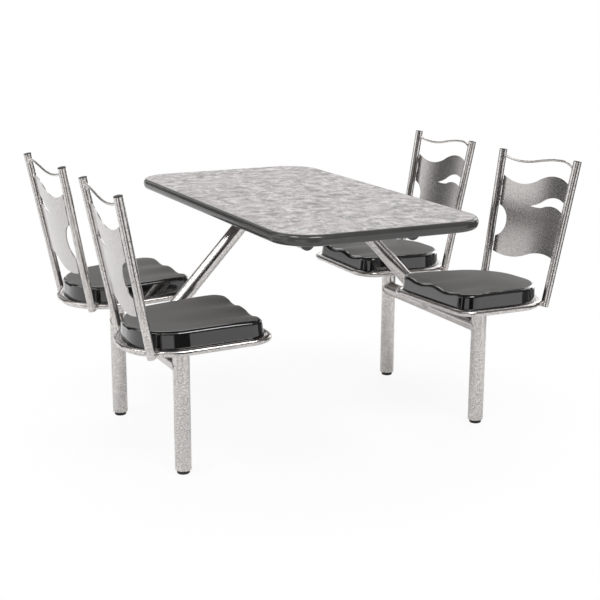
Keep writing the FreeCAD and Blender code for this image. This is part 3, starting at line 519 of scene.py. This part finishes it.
# Top rod: bowed like the panel and waved, from the sitter's right upright to the left one
rodSpec = {"radius": 0.004, "back": 0.0035, "bow": 0.0115, "roundness": 5,
           "shares": (-0.94, -0.65, -0.30, 0.05, 0.40, 0.72, 0.94),
           "heights": (0.4382, 0.4307, 0.4328, 0.4442, 0.4518, 0.4490, 0.4310)}
rodCurve = bpy.data.curves.new("topRod", "CURVE")
rodCurve.dimensions = "3D"
rodCurve.bevel_depth = rodSpec["radius"]
rodCurve.bevel_resolution = rodSpec["roundness"]
rodCurve.use_fill_caps = True
rodSpline = rodCurve.splines.new("BEZIER")
rodSpline.bezier_points.add(len(rodSpec["shares"]) - 1)
rodLine = []
for point, share, height in zip(rodSpline.bezier_points, rodSpec["shares"], rodSpec["heights"]):
    depth = -rodSpec["back"] - rodSpec["bow"] * (1.0 - share ** 2)
    rodLine.append(onBack(share * uprightAcross(height), height, depth))
    point.co = rodLine[-1]
    point.handle_left_type = point.handle_right_type = "AUTO"
rodMould = bpy.data.objects.new("topRod", rodCurve)
rodMesh = bpy.data.meshes.new_from_object(rodMould)
bpy.data.objects.remove(rodMould)
for corner, stand in chairPlaces.items():
    mesh = rodMesh.copy()
    mesh.transform(stand)
    mesh.shade_smooth()
    mesh.materials.clear()
    mesh.materials.append(finishes["frame_paint"])
    settle(newPiece("topRod_" + corner, mesh), "chair_" + corner, "top_rod_" + corner)
print("scene: top rods bent")


# Weld beads: overlapping flattened drops along each seam
weldSpec = {"step": 0.8, "flat": 0.7, "least": 0.86, "most": 1.06, "seed": 7, "steps": 48}
weldSockets = (("Step", "NodeSocketFloat"), ("Flat", "NodeSocketFloat"), ("Seed", "NodeSocketInt"))
weldTree, weldNet, weldIn = newTree("weldBeads", weldSockets)
bead = weldNet.node("GeometryNodeInputNamedAttribute", {"data_type": "FLOAT"}, {"Name": "bead"})
seam = weldNet.node("GeometryNodeMeshToCurve", {}, {"Mesh": weldIn["Geometry"]})
spots = weldNet.node("GeometryNodeCurveToPoints", {"mode": "LENGTH"},
                     {"Curve": seam, "Length": bead * weldIn["Step"]}, "Points")
heading = Wire(weldNet, spots.socket.node.outputs["Rotation"])
swell = bead * weldNet.node("FunctionNodeRandomValue", {},
                            {2: weldSpec["least"], 3: weldSpec["most"], "Seed": weldIn["Seed"]}, 1)
drop = weldNet.node("GeometryNodeMeshIcoSphere", {}, {"Radius": 1.0, "Subdivisions": 2})
drop = weldNet.node("GeometryNodeSetShadeSmooth", {}, {"Geometry": drop})
size = weldNet.node("ShaderNodeCombineXYZ", {}, {0: swell, 1: swell, 2: swell * weldIn["Flat"]})
drops = weldNet.node("GeometryNodeInstanceOnPoints", {},
                     {"Points": spots, "Instance": drop, "Rotation": heading, "Scale": size})
closeTree(weldTree, weldNet, drops, finishes["frame_paint"])


def tubeSeam(start, aim, radius, met, metAim, metRadius, steps=96):
    # the line where a tube that runs from start along aim first meets the skin of another
    aim, metAim = aim.normalized(), metAim.normalized()
    side = aim.orthogonal().normalized()
    over = aim.cross(side)
    across = aim - metAim * aim.dot(metAim)
    seamLine = []
    for step in range(steps + 1):
        angle = math.tau * step / steps
        skin = start + (side * math.cos(angle) + over * math.sin(angle)) * radius
        gap = skin - met - metAim * (skin - met).dot(metAim)
        half, rest = gap.dot(across), gap.dot(gap) - metRadius ** 2
        run = (-half - math.sqrt(max(half ** 2 - across.dot(across) * rest, 0.0))) / across.dot(across)
        seamLine.append(skin + aim * run)
    return seamLine


def weldTurns():
    angles = [math.tau * step / weldSpec["steps"] for step in range(weldSpec["steps"] + 1)]
    return [(math.cos(angle), math.sin(angle)) for angle in angles]


def weldMesh(name, seams, turn=Matrix()):
    points, edges, beads = [], [], []
    for line, radius in seams:
        edges += [(len(points) + step, len(points) + step + 1) for step in range(len(line) - 1)]
        points += [turn @ point for point in line]
        beads += [radius] * len(line)
    mesh = bpy.data.meshes.new(name)
    mesh.from_pydata(points, edges, [])
    mesh.attributes.new("bead", "FLOAT", "POINT").data.foreach_set("value", beads)
    return mesh


# Frame: beams on posts, struts on beams and rails, and fillets between a rail and the plates on it
frameWelds = {"brace": 0.02225, "beamHeight": 0.324, "railHeight": 0.67675, "railAcross": 0.1725,
              "plateAlong": 0.320, "filletHalf": 0.056, "filletAside": 0.0095, "filletHeight": 0.6978,
              "bead": 0.0027}
postTube, brace, alongTable = postSpec["radius"], frameWelds["brace"], Vector((0.0, 1.0, 0.0))
frameLines = []
for side in (-1.0, 1.0):
    beam = Vector((side * postSpec["across"], 0.0, frameWelds["beamHeight"]))
    rail = Vector((side * frameWelds["railAcross"], 0.0, frameWelds["railHeight"]))
    middle = (beam + rail) / 2.0
    for end in (-1.0, 1.0):
        post = Vector((beam.x, end * postSpec["along"], 0.0))
        frameLines.append(tubeSeam(beam, alongTable * end, postTube, post, upward, postTube))
        for edge in (-1.0, 1.0):
            across = rail.x + edge * frameWelds["filletAside"]
            fillet = Vector((across, end * frameWelds["plateAlong"], frameWelds["filletHeight"]))
            run = alongTable * frameWelds["filletHalf"]
            frameLines.append([fillet - run, fillet, fillet + run])
    frameLines.append(tubeSeam(middle, beam - middle, brace, beam, alongTable, postTube))
    frameLines.append(tubeSeam(middle, rail - middle, brace, rail, alongTable, brace))
frameSeams = [(line, frameWelds["bead"]) for line in frameLines]

# Chair: uprights on the ring, rod ends, stitches behind the panel's edges, the plate's bars and the collar
chairWelds = {"ringBearing": 48.8, "footRise": 0.008, "footWide": 0.0070, "footTall": 0.0062,
              "footOut": 0.0010, "footIn": 0.0011, "footBead": 0.0021,
              "rodRun": 0.03, "rodSteps": 36, "rodBead": 0.0011,
              "stitches": {1.0: (0.165, 0.245, 0.345), -1.0: (0.148, 0.300, 0.352)}, "stitch": 0.018,
              "stitchBehind": 0.0045, "stitchReach": 0.0133, "stitchBead": 0.0015,
              "bars": ((0.079, 0.111), (-0.074, -0.042)), "barInside": 0.0096, "barBelow": 0.0034,
              "barBead": 0.0022,
              "collar": 0.0135, "collarHeight": 0.4141, "collarBead": 0.0022}
ringBearing, ringTurn = math.radians(chairWelds["ringBearing"]), ringPlane.to_3x3()
ringUp = ringTurn @ upward
chairSeams = []
for hand, rodEnd, rodInner in ((1.0, rodLine[-1], rodLine[-2]), (-1.0, rodLine[0], rodLine[1])):
    foot = onBack(hand * backSpec["foot"].y, 0.0, 0.0)
    lean = upBack * math.cos(splay) + Vector((0.0, hand * math.sin(splay), 0.0))
    # round the spot where an upright stands against the ring
    out = ringTurn @ Vector((-math.cos(ringBearing), hand * math.sin(ringBearing), 0.0))
    touch = foot + lean * chairWelds["footRise"] - out * backSpec["upright"]
    line = []
    for swing, lift in weldTurns():
        bulge = chairWelds["footOut"] * swing ** 2 - chairWelds["footIn"] * lift ** 2
        flat = out.cross(ringUp) * chairWelds["footWide"] * swing + ringUp * chairWelds["footTall"] * lift
        line.append(touch + flat + out * bulge)
    chairSeams.append((line, chairWelds["footBead"]))
    # rod end
    aim = (rodEnd - rodInner).normalized()
    start = rodEnd - aim * chairWelds["rodRun"]
    line = tubeSeam(start, aim, rodSpec["radius"], foot, lean, backSpec["upright"], chairWelds["rodSteps"])
    chairSeams.append((line, chairWelds["rodBead"]))
    # stitches
    depth = hand * panelSpec["sway"] - chairWelds["stitchBehind"]
    inset = math.sqrt(chairWelds["stitchReach"] ** 2 - depth ** 2)
    for middle in chairWelds["stitches"][hand]:
        levels = [middle + share * chairWelds["stitch"] for share in (-0.5, 0.0, 0.5)]
        line = [onBack(hand * (uprightAcross(level) - inset), level, depth) for level in levels]
        chairSeams.append((line, chairWelds["stitchBead"]))
    # bars
    for low, high in chairWelds["bars"]:
        line = []
        for x in (low, (low + high) / 2.0, high):
            half = ringSpec["half"] - ringSpec["narrows"] * (ringSpec["front"] - x) / ringSpec["length"]
            y = hand * (half - chairWelds["barInside"])
            line.append(ringPlane @ Vector((x, y, -chairWelds["barBelow"])))
        chairSeams.append((line, chairWelds["barBead"]))
line = []
for swing, lift in weldTurns():
    x, y = chairWelds["collar"] * swing, chairWelds["collar"] * lift
    line.append(Vector((x, y, chairWelds["collarHeight"] + x * math.tan(ringSlope))))
chairSeams.append((line, chairWelds["collarBead"]))

weldValues = {"Step": weldSpec["step"], "Flat": weldSpec["flat"], "Seed": weldSpec["seed"]}
bake("frameWelds", weldMesh("frameWelds", frameSeams), weldTree, weldValues, "frame")
for corner, stand in chairPlaces.items():
    name = "chairWelds_" + corner
    bake(name, weldMesh(name, chairSeams, stand), weldTree, weldValues, "chair_" + corner)
print("scene: weld beads laid")


# Screws with a cross recess: lengths in metres, then shares of the head's radius and rise
screwSpecs = {"boardScrew": {"head": 0.0045, "rise": 0.003, "shank": 0.00225, "length": 0.025, "tip": 0.008},
              "seatScrew": {"head": 0.0055, "rise": 0.004, "shank": 0.003, "length": 0.024, "tip": 0.002}}
headShares = ((1.0, 0.0), (1.0, 0.42), (0.97, 0.62), (0.88, 0.82), (0.74, 0.95), (0.58, 1.0))
recessSpec = {"reach": 0.50, "arm": 0.13, "taper": 0.45, "floor": 0.30}
screwSpec = {"segments": 28, "point": 0.12, "sharp": 38.0}


def makeScrew(name, spec):
    head, rise, shank, length = spec["head"], spec["rise"], spec["shank"], spec["length"]
    segments = screwSpec["segments"]
    profile = [(shank * screwSpec["point"], length), (shank, length - spec["tip"]), (shank, 0.0)]
    profile += [(head * wide, -rise * down) for wide, down in headShares]
    angles = [math.tau * step / segments for step in range(segments)]
    turns = [(math.cos(angle), math.sin(angle)) for angle in angles]
    mould = bmesh.new()
    rings = []
    for radius, level in profile:
        rings.append([mould.verts.new((radius * x, radius * y, level)) for x, y in turns])
    for upper, lower in zip(rings, rings[1:]):
        for step in range(segments):
            mould.faces.new((upper[step - 1], upper[step], lower[step], lower[step - 1]))
    mould.faces.new(rings[0])
    # the cross, sunk from the flat of the head
    far, arm = head * recessSpec["reach"], head * recessSpec["arm"]
    outline = []
    for across, along in ((1.0, 0.0), (0.0, 1.0), (-1.0, 0.0), (0.0, -1.0)):
        for x, y in ((far, arm), (arm, arm), (arm, far)):
            outline.append((x * across - y * along, x * along + y * across))
    taper, floorLevel = recessSpec["taper"], -rise * recessSpec["floor"]
    mouth = [mould.verts.new((x, y, -rise)) for x, y in outline]
    deep = [mould.verts.new((x * taper, y * taper, floorLevel)) for x, y in outline]
    for step in range(len(outline)):
        mould.faces.new((mouth[step - 1], mouth[step], deep[step], deep[step - 1]))
    mould.faces.new(deep)
    brim = [mould.edges.get((loop[step - 1], loop[step])) or mould.edges.new((loop[step - 1], loop[step]))
            for loop in (rings[-1], mouth) for step in range(len(loop))]
    bmesh.ops.triangle_fill(mould, edges=brim, use_beauty=True)
    bmesh.ops.recalc_face_normals(mould, faces=mould.faces)
    mesh = bpy.data.meshes.new(name)
    mould.to_mesh(mesh)
    mould.free()
    mesh.shade_smooth()
    mesh.set_sharp_from_angle(angle=math.radians(screwSpec["sharp"]))
    return newPiece(name, mesh)


screwTree, screwNet, screwIn = newTree("screws", (("Screw", "NodeSocketObject"), ("Seed", "NodeSocketInt")))
aimed = screwNet.node("GeometryNodeInputNamedAttribute", {"data_type": "FLOAT_VECTOR"}, {"Name": "aim"})
upright = screwNet.node("FunctionNodeAlignRotationToVector", {"axis": "Z"}, {"Vector": aimed})
spin = screwNet.node("FunctionNodeRandomValue", {}, {2: 0.0, 3: math.tau, "Seed": screwIn["Seed"]}, 1)
spin = screwNet.node("FunctionNodeAxisAngleToRotation", {}, {"Axis": tuple(upward), "Angle": spin})
facing = screwNet.node("FunctionNodeRotateRotation", {"rotation_space": "LOCAL"},
                       {"Rotation": upright, "Rotate By": spin})
model = screwNet.node("GeometryNodeObjectInfo", {}, {"Object": screwIn["Screw"]}, "Geometry")
driven = screwNet.node("GeometryNodeInstanceOnPoints", {},
                       {"Points": screwIn["Geometry"], "Instance": model, "Rotation": facing})
closeTree(screwTree, screwNet, driven, finishes["zinc_screws"])


def screwSpots(spec):
    return [Vector((x, y, spec["height"])) for x in spec["across"] for y in spec["along"]]


def screwMesh(name, places, aim):
    mesh = bpy.data.meshes.new(name)
    mesh.from_pydata(places, [], [])
    mesh.attributes.new("aim", "FLOAT_VECTOR", "POINT").data.foreach_set("vector", list(aim) * len(places))
    return mesh


boardScrews = {"height": 0.699, "across": (-0.034, 0.034), "along": (-0.050, 0.050), "seed": 3}
seatScrews = {"height": -0.003, "across": (0.095, -0.058), "along": (-0.110, 0.110), "seed": 11}
moulds = {name: makeScrew(name, spec) for name, spec in screwSpecs.items()}
places = []
for side in (-1.0, 1.0):
    for end in (-1.0, 1.0):
        plate = Vector((side * frameWelds["railAcross"], end * frameWelds["plateAlong"], 0.0))
        places += [plate + spot for spot in screwSpots(boardScrews)]
values = {"Screw": moulds["boardScrew"], "Seed": boardScrews["seed"]}
mesh = screwMesh("boardScrews", places, upward)
bake("boardScrews", mesh, screwTree, values, "frame", "board_screws")
for number, (corner, stand) in enumerate(chairPlaces.items()):
    name, tilt = "seatScrews_" + corner, stand @ ringPlane
    mesh = screwMesh(name, [tilt @ spot for spot in screwSpots(seatScrews)], tilt.to_3x3() @ upward)
    values = {"Screw": moulds["seatScrew"], "Seed": seatScrews["seed"] + number}
    bake(name, mesh, screwTree, values, "chair_" + corner, "seat_screws_" + corner)
for mould in moulds.values():
    bpy.data.objects.remove(mould)
print("scene: screws set")
